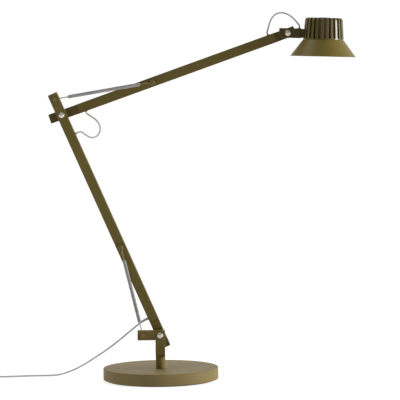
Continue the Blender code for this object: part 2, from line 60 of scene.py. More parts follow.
MM = 0.001
GAP = 0.3  # clearance between pieces that touch
BAR, WALL, PLUG = 20.0, 1.5, 16.4  # a square tube's outside and wall, and the spigot inside it
HALF = BAR / 2
LAYER = 21.6  # from the middle of one layer of bars to the next
ARM, UPPER_ARM, LOWER_TAIL, TAIL = 500.0, 498.3, 29.3, 27.5
KNUCKLE, EXTENSION, BRACKET = 32.0, 48.0, 47.0
HEAD_KNUCKLE, TIP = 23.4, 16.1
SPRING_PIN, SPRING_STUD = 36.0, 200.0
BASE_R, BASE_TOP = 120.0, 26.0
HEAD_AXIS = 74.1
CORD_R = 1.8
COIL_R, WIRE_R, SPRING_WIRE = 3.9, 1.2, 0.5
FACE = 9.4  # half of a knuckle's thickness

# Local frames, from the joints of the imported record

pivot_of = {j["name"]: Vector(j["pos_m"]) / MM for j in frame["joints"] if "pos_m" in j}
PIVOT = Vector((0.0, 0.0, pivot_of["lower_arm_hinge"].z))
ELBOW = Vector((pivot_of["elbow_hinge"].x, 0.0, pivot_of["elbow_hinge"].z))
HEAD = Vector((pivot_of["head_hinge"].x, 0.0, pivot_of["head_hinge"].z))
HEAD_TILT = -2.0
POST_TOP = PIVOT.z + HALF


def rise(start, end):
    """The angle of the line between two points of the XZ plane, in degrees from +X towards +Z."""
    return math.degrees(math.atan2(end.z - start.z, end.x - start.x))


def place(point, degrees=0.0):
    """The matrix from a local frame in mm to the row frame in metres."""
    return Matrix.Scale(MM, 4) @ Matrix.Translation(point) @ Matrix.Rotation(-math.radians(degrees), 4, "Y")


LOWER_LEAN, UPPER_RISE = rise(PIVOT, ELBOW), rise(ELBOW, HEAD)
POST_Y, UPPER_Y = -LAYER, LAYER
base_frame = place(Vector((0, 0, 0)))
post_frame = place(Vector((0, POST_Y, 0)))
lower_frame = place(PIVOT, LOWER_LEAN)
upper_frame = place(ELBOW + Vector((0, UPPER_Y, 0)), UPPER_RISE)
head_frame = place(HEAD, HEAD_TILT)
TO_FRONT = Matrix.Rotation(math.pi / 2, 4, "X")  # turns a shape's own Z to face the front, -Y
ALONG = Matrix.Rotation(math.pi / 2, 4, "Y")  # turns a shape's own Z to run along X


def at(x=0.0, y=0.0, z=0.0):
    return Matrix.Translation((x, y, z))


# Materials. Each is a small graph of procedural nodes on the shader's colour, roughness and normal.


class Graph:
    """A material's node tree, with the few kinds of node that the materials below need."""

    def __init__(self, name, **constants):
        self.material = bpy.data.materials.new(name)
        self.material.use_nodes = True
        self.tree = self.material.node_tree
        self.shader = self.tree.nodes["Principled BSDF"]
        for socket, value in constants.items():
            self.shader.inputs[socket.replace("_", " ")].default_value = value
        self.where = self.tree.nodes.new("ShaderNodeTexCoord").outputs["Object"]
        self.normal = None

    def link(self, a, b):
        self.tree.links.new(a, b)

    def noise(self, scale, detail, rough=0.5):
        n = self.tree.nodes.new("ShaderNodeTexNoise")
        n.inputs["Scale"].default_value = scale
        n.inputs["Detail"].default_value = detail
        n.inputs["Roughness"].default_value = rough
        self.link(self.where, n.inputs["Vector"])
        return n.outputs["Fac"]

    def ranged(self, value, low, high, to_low, to_high):
        n = self.tree.nodes.new("ShaderNodeMapRange")
        for k, v in enumerate((low, high, to_low, to_high), 1):
            n.inputs[k].default_value = v
        self.link(value, n.inputs[0])
        return n.outputs[0]

    def maths(self, operation, a, b=None):
        n = self.tree.nodes.new("ShaderNodeMath")
        n.operation = operation
        for k, v in enumerate((a, b)):
            if isinstance(v, (int, float)):
                n.inputs[k].default_value = v
            elif v is not None:
                self.link(v, n.inputs[k])
        return n.outputs[0]

    def colours(self, factor, *stops):
        """A colour ramp: (position, (r, g, b)), ..."""
        n = self.tree.nodes.new("ShaderNodeValToRGB")
        ramp = n.color_ramp
        while len(ramp.elements) < len(stops):
            ramp.elements.new(0.5)
        for e, (position, colour) in zip(ramp.elements, stops):
            e.position = position
            e.color = (*colour, 1.0)
        self.link(factor, n.inputs["Fac"])
        return n.outputs["Color"]

    def mixed(self, factor, a, b):
        n = self.tree.nodes.new("ShaderNodeMix")
        n.data_type = "RGBA"
        for socket, v in ((n.inputs[0], factor), (n.inputs[6], a), (n.inputs[7], b)):
            if isinstance(v, tuple):
                socket.default_value = (*v, 1.0)
            elif isinstance(v, float):
                socket.default_value = v
            else:
                self.link(v, socket)
        return n.outputs[2]

    def bump(self, height, depth, strength):
        """Adds a bump of that depth in metres on top of the ones before."""
        n = self.tree.nodes.new("ShaderNodeBump")
        n.inputs["Strength"].default_value = strength
        n.inputs["Distance"].default_value = depth
        self.link(height, n.inputs["Height"])
        if self.normal:
            self.link(self.normal, n.inputs["Normal"])
        self.normal = n.outputs["Normal"]

    def done(self, colour, roughness):
        self.link(colour, self.shader.inputs["Base Color"])
        self.link(roughness, self.shader.inputs["Roughness"])
        if self.normal:
            self.link(self.normal, self.shader.inputs["Normal"])
        return self.material


def scaled(colour, factor):
    return tuple(c * factor for c in colour)


def powder_coat(name, colour, rough=0.44, specular=0.22):
    """Matt powder coat: a fine orange peel, faint flecks and slow changes of tone."""
    g = Graph(name, Specular_IOR_Level=specular)
    slow = g.noise(9.0, 3.0)
    tone = g.colours(slow, (0.3, scaled(colour, 0.92)), (0.7, scaled(colour, 1.07)))
    fleck = g.ranged(g.noise(1900.0, 1.0), 0.62, 0.78, 0.0, 0.35)
    dust = g.ranged(g.noise(1300.0, 1.0), 0.3, 0.42, 0.3, 0.0)
    tone = g.mixed(fleck, tone, scaled(colour, 1.7))
    tone = g.mixed(dust, tone, scaled(colour, 0.62))
    peel = g.noise(620.0, 2.0)
    g.bump(peel, 0.00012, 0.5)
    g.bump(g.noise(2400.0, 1.0), 0.00004, 0.4)
    return g.done(tone, g.ranged(peel, 0.3, 0.7, rough - 0.05, rough + 0.06))


def bare_metal(name, colour, rough, metallic=1.0):
    """Bare metal with a fine grain and small changes of polish."""
    g = Graph(name, Metallic=metallic)
    grain = g.noise(700.0, 3.0, 0.6)
    tone = g.colours(g.noise(60.0, 2.0), (0.35, scaled(colour, 0.86)), (0.65, colour))
    g.bump(grain, 0.00002, 0.5)
    return g.done(tone, g.ranged(grain, 0.3, 0.7, rough - 0.06, rough + 0.08))


def moulded(name, colour, rough):
    """Moulded plastic or rubber with a fine spark-eroded grain."""
    g = Graph(name)
    grain = g.noise(1500.0, 2.0)
    tone = g.colours(g.noise(30.0, 2.0), (0.3, scaled(colour, 0.85)), (0.7, scaled(colour, 1.15)))
    g.bump(grain, 0.00005, 0.6)
    return g.done(tone, g.ranged(grain, 0.3, 0.7, rough - 0.08, rough + 0.08))


def braided(name, light, dark):
    """A textile braid: two crossing sets of yarns wound round the cord. In the piece's UV map, U goes round
    the cord and V along it, in turns of the braid."""
    g = Graph(name, Sheen_Weight=0.25, Sheen_Roughness=0.4, Specular_IOR_Level=0.25)
    split = g.tree.nodes.new("ShaderNodeSeparateXYZ")
    uv = g.tree.nodes.new("ShaderNodeUVMap")
    uv.uv_map = "along"
    g.link(uv.outputs[0], split.inputs[0])
    yarns = 6.0
    waves = []
    for side in (1.0, -1.0):
        lean = g.maths("MULTIPLY", split.outputs[1], side)
        phase = g.maths("MULTIPLY", g.maths("ADD", split.outputs[0], lean), yarns * math.pi)
        waves.append(g.maths("ABSOLUTE", g.maths("SINE", phase)))
    braid = g.maths("MAXIMUM", waves[0], waves[1])
    tone = g.colours(braid, (0.55, dark), (0.95, light))
    fluff = g.noise(5200.0, 2.0)
    tone = g.mixed(g.ranged(fluff, 0.35, 0.65, 0.0, 0.25), tone, scaled(dark, 0.9))
    g.bump(braid, 0.00016, 0.7)
    g.bump(fluff, 0.00005, 0.5)
    return g.done(tone, g.ranged(fluff, 0.3, 0.7, 0.62, 0.8))


OLIVE = (0.12, 0.088, 0.017)
paint = powder_coat("olive_powder_coat", OLIVE)
# A lighter copy of the olive coat. Its extra lightness is painted light on the post, its foot plug and the
# spring bracket.
post_paint_painted_light = powder_coat("post_olive_coat_painted_light", scaled(OLIVE, 1.16))
# A much lighter copy of the olive coat. Its extra lightness is painted light on the swivel collar.
collar_paint_painted_light = powder_coat("collar_olive_coat_painted_light", scaled(OLIVE, 1.42))
# A darker copy of the olive coat. Its extra darkness is painted shade on the upper arm's tube.
arm_paint_painted_shade = powder_coat("upper_arm_olive_coat_painted_shade", scaled(OLIVE, 0.9))
# Half as bright as the olive coat. This is a painted shadow of the lamp's head on the head bar, its neck and
# the upper arm's head knuckle.
head_shadow_paint = powder_coat("olive_coat_painted_head_shadow", scaled(OLIVE, 0.5), specular=0.17)
# A darker copy of the olive coat. Its extra darkness is painted shade on the elbow's end piece.
elbow_paint_painted_shade = powder_coat("elbow_olive_coat_painted_shade", scaled(OLIVE, 0.72), specular=0.17)
# A darker copy of the olive coat, with painted shade on the finned drum. Its lower roughness and higher
# specular give the drum a smoother coat.
drum_paint_painted_shade = powder_coat("smooth_olive_coat_painted_shade", scaled(OLIVE, 0.72), rough=0.3, specular=0.5)
# A lighter copy of the olive coat. Its extra lightness is painted light on the lampshade's cone.
lampshade_paint_painted_light = powder_coat("lampshade_olive_coat_painted_light", scaled(OLIVE, 1.22), specular=0.17)
# A lighter, greyer copy of the olive coat. Its extra lightness is painted light on the base.
base_paint = powder_coat("base_powder_coat_painted_light", (0.184, 0.138, 0.054), rough=0.55, specular=0.12)
bright_steel = bare_metal("polished_steel", (0.76, 0.72, 0.63), 0.36)
spring_steel = bare_metal("drawn_spring_wire", (0.39, 0.375, 0.355), 0.5, metallic=0.55)
# A darker, olive-coloured copy of the spring wire, for the hooks' eyes.
hook_steel = bare_metal("olive_dark_wire", (0.19, 0.145, 0.06), 0.45, metallic=0.5)
# A lighter, glossier copy of the olive paint for the spring pins' domed heads. The lighter tone is a painted
# highlight, and the gloss is real.
pin_paint_painted_highlight = bare_metal("olive_pin_painted_highlight", (0.21, 0.162, 0.068), 0.34, metallic=0.6)
gland_plastic = moulded("olive_plastic", (0.075, 0.055, 0.018), 0.55)
aluminium = bare_metal("machined_aluminium", (0.8, 0.8, 0.81), 0.3)
plastic = moulded("black_plastic", (0.022, 0.021, 0.019), 0.5)
rubber = moulded("rubber", (0.03, 0.03, 0.03), 0.8)
white_paint = powder_coat("reflector_white", (0.82, 0.82, 0.79), 0.35)
frosted = moulded("frosted_plastic", (0.86, 0.86, 0.83), 0.5)
phosphor = moulded("led_phosphor", (0.82, 0.62, 0.10), 0.4)
cord_braid = braided("grey_braid", (0.56, 0.56, 0.55), (0.34, 0.34, 0.335))
cord_rubber = moulded("grey_rubber", (0.42, 0.415, 0.40), 0.6)

# The materials of each slot of the record. The first is the one that a CAD node in that slot keeps. The olive
# slot's others are lighter and darker copies of its coat, with painted light and shade, and the pins' painted
# highlight.
FINISHES = {
    "olive_paint": (paint, post_paint_painted_light, collar_paint_painted_light, arm_paint_painted_shade, head_shadow_paint, elbow_paint_painted_shade, drum_paint_painted_shade,
                    lampshade_paint_painted_light, pin_paint_painted_highlight),
    "base_paint": (base_paint,),
    "bright_steel": (bright_steel,),
    "spring_steel": (spring_steel, hook_steel),
    "black_plastic": (plastic, gland_plastic),
    "rubber_foot": (rubber,),
    "grey_cord": (cord_rubber, cord_braid),
    "aluminium": (aluminium,),
    "white_reflector": (white_paint,),
    "frosted_diffuser": (frosted,),
    "led_phosphor": (phosphor,),
}
for node in nodes.values():
    slots = node.data.materials
    for k, m in enumerate(slots):
        slots[k] = FINISHES[m.name.split(".")[0]][0]

# Shapes. Every builder returns a bmesh in mm.


def arc(centre, radius, start, end, steps):
    """Points of an arc, from one angle to another, in degrees."""
    angles = [math.radians(start + (end - start) * k / steps) for k in range(steps + 1)]
    return [(centre[0] + radius * math.cos(a), centre[1] + radius * math.sin(a)) for a in angles]


def softened(points, radius, closed=False, steps=3):
    """A profile with each corner rounded: by one radius, or by one per point. 0 keeps a corner sharp."""
    out, n = [], len(points)
    radii = radius if isinstance(radius, (list, tuple)) else [radius] * n
    for k, p in enumerate(points):
        p = Vector(p)
        if radii[k] <= 0 or (not closed and k in (0, n - 1)):
            out.append(tuple(p))
            continue
        a, b = Vector(points[k - 1]) - p, Vector(points[(k + 1) % n]) - p
        reach = min(radii[k], 0.49 * a.length, 0.49 * b.length)
        start, end = p + a.normalized() * reach, p + b.normalized() * reach
        for i in range(steps + 1):
            t = i / steps
            out.append(tuple(start * (1 - t) ** 2 + p * 2 * t * (1 - t) + end * t * t))
    return out


def lathe(profile, steps, closed=False):
    """A profile of (radius, z) turned about Z. An open one starts and ends on the axis."""
    bm = bmesh.new()
    rings = []
    for r, z in profile:
        if r < 1e-6:
            rings.append([bm.verts.new((0, 0, z))])
        else:
            rings.append([bm.verts.new((r * math.cos(a), r * math.sin(a), z))
                          for a in (2 * math.pi * k / steps for k in range(steps))])
    pairs = list(zip(rings, rings[1:])) + ([(rings[-1], rings[0])] if closed else [])
    for a, b in pairs:
        for k in range(steps):
            j = (k + 1) % steps
            corners = [a[k % len(a)], a[j % len(a)], b[j % len(b)], b[k % len(b)]]
            corners = list(dict.fromkeys(corners))
            if len(corners) > 2:
                bm.faces.new(corners)
    bmesh.ops.recalc_face_normals(bm, faces=bm.faces)
    return bm


def box(low, high, bevel=0.0):
    bm = bmesh.new()
    bmesh.ops.create_cube(bm, size=1.0)
    low, high = Vector(low), Vector(high)
    bmesh.ops.scale(bm, vec=high - low, verts=bm.verts)
    bmesh.ops.translate(bm, vec=(low + high) / 2, verts=bm.verts)
    if bevel:
        bmesh.ops.bevel(bm, geom=bm.edges[:], offset=bevel, segments=3, profile=0.5, affect="EDGES")
    return bm


def prism(section, low, high):
    """A closed outline of (x, y) points raised from low to high along Z."""
    bm = bmesh.new()
    rings = [[bm.verts.new((x, y, z)) for x, y in section] for z in (low, high)]
    n = len(section)
    for k in range(n):
        j = (k + 1) % n
        bm.faces.new((rings[0][k], rings[0][j], rings[1][j], rings[1][k]))
    bm.faces.new(rings[0])
    bm.faces.new(rings[1])
    bmesh.ops.recalc_face_normals(bm, faces=bm.faces)
    return bm


def cylinder(radius, low, high, steps):
    return prism([(radius * math.cos(2 * math.pi * k / steps), radius * math.sin(2 * math.pi * k / steps))
                  for k in range(steps)], low, high)


def moved(bm, matrix):
    bmesh.ops.transform(bm, matrix=matrix, verts=bm.verts)
    return bm


def as_mesh(name, bm):
    mesh = bpy.data.meshes.new(name)
    bm.to_mesh(mesh)
    bm.free()
    return mesh


TINY = 0.002  # points closer than this are one point


def combined(first, *others, operation="DIFFERENCE"):
    """The first shape less the others, or joined with them."""
    objects = []
    for k, bm in enumerate((first, *others)):
        o = bpy.data.objects.new(f"shape_{k}", as_mesh("shape", bm))
        bpy.context.scene.collection.objects.link(o)
        objects.append(o)
    for other in objects[1:]:
        m = objects[0].modifiers.new("cut", "BOOLEAN")
        m.operation, m.solver, m.object = operation, "EXACT", other
    evaluated = objects[0].evaluated_get(bpy.context.evaluated_depsgraph_get())
    out = bmesh.new()
    out.from_mesh(evaluated.to_mesh())
    evaluated.to_mesh_clear()
    bmesh.ops.remove_doubles(out, verts=out.verts, dist=TINY)
    bmesh.ops.dissolve_degenerate(out, edges=out.edges, dist=TINY)
    for o in objects:
        mesh = o.data
        bpy.data.objects.remove(o)
        bpy.data.meshes.remove(mesh)
    return out


def merged(*shapes):
    """Separate solids in one bmesh."""
    out = bmesh.new()
    for bm in shapes:
        mesh = as_mesh("part", bm)
        out.from_mesh(mesh)
        bpy.data.meshes.remove(mesh)
    return out


def show(name, bm, matrix, material, body, stands_for=None, sharp=34, weighted=True):
    """Turns a bmesh into a finished piece that rides on a body and stands for a CAD node, or for several."""
    moved(bm, matrix)
    mesh = as_mesh(name, bm)
    mesh.materials.append(material)
    mesh.shade_smooth()
    mesh.set_sharp_from_angle(angle=math.radians(sharp))
    o = bpy.data.objects.new(name, mesh)
    bpy.context.scene.collection.objects.link(o)
    if weighted:
        m = o.modifiers.new("flat faces", "WEIGHTED_NORMAL")
        m.keep_sharp = True
    for node_name in ([stands_for] if isinstance(stands_for, str) else stands_for or []):
        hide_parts(node_name)
    if body:
        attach(o, body)
    return o


def lofted(stations, half_y, half_z, radius, steps=4):
    """A bar along X with rounded corners. Each station is (x, inset) or (x, inset in Y, inset in Z)."""
    bm = bmesh.new()
    rings = []
    for x, inset_y, *rest in stations:
        inset_z = rest[0] if rest else inset_y
        r = max(0.15, radius - max(inset_y, inset_z))
        ring = []
        for k in range(4):
            sy, sz = (1, -1, -1, 1)[k], (1, 1, -1, -1)[k]
            centre = (sy * (half_y - inset_y - r), sz * (half_z - inset_z - r))
            ring += arc(centre, r, 90 * k, 90 * k + 90, steps)
        rings.append([bm.verts.new((x, y, z)) for y, z in ring])
    n = len(rings[0])
    for a, b in zip(rings, rings[1:]):
        for k in range(n):
            j = (k + 1) % n
            bm.faces.new((a[k], a[j], b[j], b[k]))
    bm.faces.new(rings[0])
    bm.faces.new(rings[-1])
    bmesh.ops.recalc_face_normals(bm, faces=bm.faces)
    return bm


EDGE = 1.2  # the corner radius of a square tube
CAP = 2.0  # the thickness of an end cap
SEAM, SEAM_DEPTH = 3.4, 1.2  # the wide chamfers on both sides of the seam between a tube and its end piece


def rounded_end(x, toward, radius=0.6):
    """Stations of an end with its edges rounded over. toward is the way to the rest of the bar: 1 or -1."""
    return [(x + toward * radius * (1 - math.cos(a)), radius * (1 - math.sin(a)))
            for a in (math.radians(d) for d in (0, 30, 60, 90))]


def seam_end(x, toward):
    """Stations of an end whose front and back are chamfered, and whose top and bottom are only eased."""
    return [(x, SEAM_DEPTH, 0.35), (x + toward * 0.35, SEAM_DEPTH * 0.9, 0.0),
            (x + toward * SEAM, 0.08, 0.0), (x + toward * (SEAM + 0.5), 0.0, 0.0)]


def square_tube(start, end, *cutters, start_wall=0.0, seams=(True, True)):
    """A square tube along X, less the cutters. start_wall closes its start."""
    first = seam_end(start, 1) if seams[0] else rounded_end(start, 1)
    last = seam_end(end, -1) if seams[1] else rounded_end(end, -1, 0.3)
    tube = lofted(first + last[::-1], HALF, HALF, EDGE)
    bore_start = start + start_wall if start_wall else start - 5
    bore = lofted([(bore_start, 0), (end + 5, 0)], HALF - WALL, HALF - WALL, 0.5, 2)
    return combined(tube, bore, *cutters)


def end_cap(end):
    """A thin cap on a bar's far end along X, with rounded edges and a spigot back into the bar."""
    start = end - CAP
    plate = box((start, -HALF, -HALF), (end, HALF, HALF), 0.7)
    spigot = box((start - 3.2, -PLUG / 2, -PLUG / 2), (start + 1, PLUG / 2, PLUG / 2))
    return combined(plate, spigot, operation="UNION")


def cross_hole(radius, x, z=0.0, y=(-30, 30)):
    return moved(cylinder(radius, -y[1], -y[0], 40), at(x, 0, z) @ TO_FRONT)


def gland_hole(x, side):
    """A gland's hole through a bar's upper wall, where side is 1, or its lower one."""
    low, high = sorted((side * 5.0, side * 15.0))
    return moved(cylinder(GLAND_HOLE_R, low, high, 24), at(x))


def slot_cutter(x_low, x_high, z_low, z_high):
    """A slot with rounded ends through a wall, along X, that gives a spring's rod room to swing."""
    r = ROD_SLOT / 2
    section = arc((x_high - r, 0), r, -90, 90, 8) + arc((x_low + r, 0), r, 90, 270, 8)
    return prism(section, z_low, z_high)


HOLE_R, PIN_HOLE_R, GLAND_HOLE_R, BOLT_R, ROD_SLOT = 4.3, 2.3, 3.0, 4.0, 5.0
BEHIND = -LAYER  # the middle of the bar behind a joint's front bar, measured to the front


def pivot_bolt():
    """A button-head bolt along Z, with a hexagon socket in its head and a chamfered thread at its end."""
    tip = BEHIND - FACE - 8.5
    head = arc((0, 6.3), 7.2, 90, 48, 7)
    shank = [(6.0, 11.3), (6.0, 10.5), (5.8, 10.3), (BOLT_R, 10.3)]
    z, thread = tip + 11.0, []
    while z > tip + 1.2:
        thread += [(BOLT_R, z), (BOLT_R - 0.45, z - 0.5)]
        z -= 1.0
    body = head[:-1] + [(5.5, 12.0), (5.85, 11.65)] + shank + thread + [(BOLT_R - 0.5, tip + 0.6),
                                                                      (BOLT_R - 1.0, tip), (0, tip)]
    socket = moved(cylinder(2.0, 12.7, 16, 6), Matrix.Rotation(math.radians(12), 4, "Z"))
    rim = lathe([(0, 14.2), (2.5, 14.2), (1.9, 13.2), (0, 13.2)], 48)
    return combined(lathe(body, 72), socket, rim)


def hex_nut():
    """A nut with its corners chamfered on both faces, in the layer behind the joint."""
    front, back = BEHIND - FACE - GAP, BEHIND - FACE - 6.8
    block = moved(cylinder(7.5, back, front, 6), Matrix.Rotation(math.radians(30), 4, "Z"))
    dome = lathe([(0, front), (6.4, front), (7.6, front - 0.75),
                  (7.6, back + 0.75), (6.4, back), (0, back)], 72)
    nut = combined(block, dome, operation="INTERSECT")
    bore = lathe([(0, front + 5), (HOLE_R + 0.6, front + 5), (HOLE_R + 0.6, front), (HOLE_R, front - 0.6),
                  (HOLE_R, back + 0.6), (HOLE_R + 0.6, back), (HOLE_R + 0.6, back - 5), (0, back - 5)], 48)
    return combined(nut, bore)


def ring(inner, outer, back, front, soft, steps=56):
    """A washer, collar or bush between two heights."""
    return lathe(softened([(outer, front), (outer, back), (inner, back), (inner, front)], soft, closed=True),
                 steps, closed=True)


def joint_hardware(prefix, washer_name, body, matrix, bolt_name):
    """A pivot's bolt, washer and nut. The matrix puts the joint's axis in the middle of its front bar."""
    facing = matrix @ TO_FRONT
    show(prefix + "_bolt_piece", pivot_bolt(), facing, bright_steel, body, bolt_name)
    washer = ring(HOLE_R, 9.0, BEHIND + FACE + GAP, -HALF - GAP, 0.12)
    show(prefix + "_washer_piece", washer, facing, plastic, body, washer_name)
    show(prefix + "_nut_piece", hex_nut(), facing, bright_steel, body,
         washer_name.replace("washer", "nut"))


def support_pin():
    """A spring's support pin: a domed head in front of the bar and a plain shank across it."""
    head = [(0, 12.3)] + arc((2.9, 11.2), 1.1, 90, 0, 5) + [(4.0, 10.5), (3.8, 10.3), (2, 10.3)]
    dimple = lathe([(0, 13), (1.5, 13), (1.2, 11.9), (0, 11.7)], 32)
    return combined(lathe(head + [(2, -10.7), (1.7, -11.0), (0, -11.0)], 48), dimple)


def stud():
    """A stud that stands off the front of an arm, with a groove for the spring's hook."""
    groove = LAYER
    points = [(0, groove + 3.7), (4, groove + 3.7), (4, groove + 1.7), (2, groove + 1.7), (2, groove - 1.7),
              (4, groove - 1.7), (4, HALF + GAP), (2, HALF + GAP), (2, HALF - 4), (0, HALF - 4)]
    return lathe(softened(points, [0, 0.9, 0.3, 0.6, 0.6, 0.3, 0.3, 0, 0.2, 0]), 48)


def gland():
    """A cable gland in a bar's wall: a neck in the hole and a low domed flange."""
    inner, neck, flange = CORD_R + GAP / 2, 2.7, 3.5
    low, top = HALF - WALL - 0.6, HALF + 0.9
    points = [(inner, top), (inner + 0.5, top), (flange - 0.5, top), (flange, HALF + 0.05),
              (neck, HALF + 0.05), (neck, low), (inner, low)]
    return lathe(softened(points, [0.2, 0.3, 0.4, 0.1, 0, 0.2, 0.2], closed=True), 40, closed=True)


# Cords and the tubes along a line


def through(points, step):
    """Points a step apart on a smooth curve through the given ones."""
    p = [Vector(q) for q in points]
    p = [2 * p[0] - p[1]] + p + [2 * p[-1] - p[-2]]
    fine = []
    for i in range(1, len(p) - 2):
        for k in range(16):
            t = k / 16
            fine.append(0.5 * (2 * p[i] + (p[i + 1] - p[i - 1]) * t
                               + (2 * p[i - 1] - 5 * p[i] + 4 * p[i + 1] - p[i + 2]) * t * t
                               + (3 * p[i] - p[i - 1] - 3 * p[i + 1] + p[i + 2]) * t ** 3))
    fine.append(p[-2])
    total = sum((b - a).length for a, b in zip(fine, fine[1:]))
    count = max(3, round(total / step))
    out, walked, k = [fine[0]], 0.0, 1
    for a, b in zip(fine, fine[1:]):
        d = (b - a).length
        while k < count and walked + d >= total * k / count:
            out.append(a.lerp(b, (total * k / count - walked) / d))
            k += 1
        walked += d
    return out + [fine[-1]]


def swept(line, radius, sides):
    """A tube along a line. radius is a number, or a function of the share of the way along. Its UV map holds
    the share of a turn round the tube, and the length along it in turns of the braid."""
    bm = bmesh.new()
    uv = bm.loops.layers.uv.new("along")
    n = len(line)
    tangents = [(line[min(k + 1, n - 1)] - line[max(k - 1, 0)]).normalized() for k in range(n)]
    side = tangents[0].orthogonal().normalized()
    rings, lengths, walked = [], [], 0.0
    for k, (p, t) in enumerate(zip(line, tangents)):
        side = (side - t * side.dot(t)).normalized()
        up = t.cross(side)
        r = radius(k / (n - 1)) if callable(radius) else radius
        rings.append([bm.verts.new(p + r * (math.cos(a) * side + math.sin(a) * up))
                      for a in (2 * math.pi * i / sides for i in range(sides))])
        walked += (p - line[k - 1]).length if k else 0.0
        lengths.append(walked)
    for a, b in zip(range(n), range(1, n)):
        for i in range(sides):
            j = (i + 1) % sides
            f = bm.faces.new((rings[a][i], rings[a][j], rings[b][j], rings[b][i]))
            for loop, u, v in zip(f.loops, (i, i + 1, i + 1, i), (a, a, b, b)):
                loop[uv].uv = (u / sides, lengths[v] / BRAID_TURN)
    bm.faces.new(rings[0])
    bm.faces.new(rings[-1])
    bmesh.ops.recalc_face_normals(bm, faces=bm.faces)
    return bm


BRAID_TURN = 11.0  # mm of cord for one turn of a yarn
LEAVE = HALF + GAP + 1.5 + GAP  # from a bar's middle to where a cord's own tube starts in CAD


def direction(degrees):
    a = math.radians(degrees)
    return Vector((math.cos(a), 0.0, math.sin(a)))


def gland_point(pivot, degrees, x, side, y, out):
    """A point of a cord's line at a gland. out is how far it lies beyond the cord's own start in CAD."""
    p = pivot + x * direction(degrees) + side * (LEAVE + out) * direction(degrees + 90)
    return Vector((p.x, y, p.z))


def add_cord(name, line, sides, blend, stands_for, **facts):
    """A braided cord along a line in mm. blend, a (body, body, start, end), is not used."""
    o = show(name, swept(line, CORD_R, sides), Matrix.Scale(MM, 4), cord_braid, None, stands_for, sharp=80,
             weighted=False)
    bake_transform(o)


MAINS_AT, ELBOW_CORD_AT, ELBOW_CORD_END = 40.0, 453.0, 49.0
HEAD_CORD_AT, HEAD_CORD_END = 459.0, 23.6
FLOOR = CORD_R + GAP
COIL_X, COIL_Y, COIL_OUTER, COIL_INNER = -378.0, 26.3, 30.7, 14.5
PITCH, TURNS_OUT, STEPS_PER_TURN = 2 * CORD_R, 4.25, 30


def coil_points():
    """Two flat layers: a spiral in on the floor, half a turn up inside it, and a spiral out on top."""
    turns_in = (COIL_OUTER - COIL_INNER) / PITCH
    out, angle = [], 90.0
    layers = ((turns_in, COIL_OUTER, COIL_INNER, FLOOR, FLOOR),
              (0.5, COIL_INNER, COIL_INNER, FLOOR, FLOOR + PITCH),
              (TURNS_OUT, COIL_INNER, COIL_INNER + PITCH * TURNS_OUT, FLOOR + PITCH, FLOOR + PITCH))
    for turns, r0, r1, z0, z1 in layers:
        count = round(turns * STEPS_PER_TURN)
        for k in range(count):
            t = k / count
            a = math.radians(angle + 360 * turns * t)
            r, z = r0 + (r1 - r0) * t, z0 + (z1 - z0) * t * t * (3 - 2 * t)
            out.append(Vector((COIL_X + r * math.cos(a), COIL_Y + r * math.sin(a), z)))
        angle += 360 * turns
    return out


PLUG_X = COIL_X - (COIL_INNER + PITCH * TURNS_OUT)
PLUG_Y, PLUG_MID = -12.0, 7.3  # where the cord enters the plug, and the height of the plug's middle
mains_route = [gland_point(PIVOT, LOWER_LEAN, MAINS_AT, 1, 0.0, out) for out in (-4.0, 0.0)]
mains_route += [Vector(p) for p in (
    (-33.4, 0.4, 124.9), (-40.0, 2.6, 120.3), (-47.0, 6.4, 114.6), (-65.9, 17.0, 98.6),
    (-84.9, 27.0, 82.1), (-110.9, 41.0, 61.1), (-136.9, 53.0, 42.6), (-162.9, 62.0, 25.6),
    (-188.4, 67.0, 12.4), (-213.4, 69.0, 4.3), (-235.0, 69.5, FLOOR), (-264.0, 68.0, FLOOR),
    (-300.0, 63.0, FLOOR), (-336.0, 58.5, FLOOR))]
mains_route += coil_points()
mains_route += [Vector((PLUG_X, y, z)) for y, z in (
    (26.3, 5.7), (16.0, 5.7), (7.5, 5.7), (2.0, 6.0), (-5.0, 6.7), (-13.0, PLUG_MID))]

elbow_route = [gland_point(ELBOW, LOWER_LEAN, ELBOW_CORD_AT - ARM, -1, 0.0, out) for out in (-3.0, 0.0, 3.0)]
elbow_route += [Vector(p) for p in (
    (-159.0, 2.5, 519.4), (-151.3, 5.0, 514.1), (-142.4, 7.0, 508.4), (-134.4, 8.6, 506.8),
    (-125.9, 10.8, 510.4), (-120.0, 13.0, 520.1), (-120.6, 15.0, 531.1), (-127.2, 17.0, 542.0),
    (-137.0, 19.5, 549.7))]
elbow_route += [gland_point(ELBOW, UPPER_RISE, ELBOW_CORD_END, -1, UPPER_Y, out) for out in (3.5, 0.0, -3.0)]

head_route = [gland_point(ELBOW, UPPER_RISE, HEAD_CORD_AT, 1, UPPER_Y, out) for out in (-3.0, 0.0, 4.0)]
head_route += [Vector(p) for p in (
    (232.6, 20.0, 731.0), (235.4, 18.0, 741.0), (240.4, 15.6, 751.0), (248.5, 12.5, 758.5),
    (259.5, 9.6, 761.0), (271.5, 7.0, 758.0), (283.0, 4.0, 750.0), (291.0, 1.5, 741.0))]
head_route += [gland_point(HEAD, HEAD_TILT, HEAD_CORD_END, 1, 0.0, out) for out in (4.0, 0.0, -3.0)]


def plug():
    """A flat plug's moulded body, narrower toward its cord."""
    outline = [(13, -36), (13, -22), (9.4, -14), (6.2, -7), (-6.2, -7), (-9.4, -14), (-13, -22), (-13, -36)]
    body = prism(softened(outline, 3.0, closed=True, steps=5), -7.0, 7.0)
    bmesh.ops.bevel(body, geom=[e for e in body.edges if abs(e.verts[0].co.z - e.verts[1].co.z) < 0.1],
                    offset=2.2, segments=4, profile=0.5, affect="EDGES")
    return body


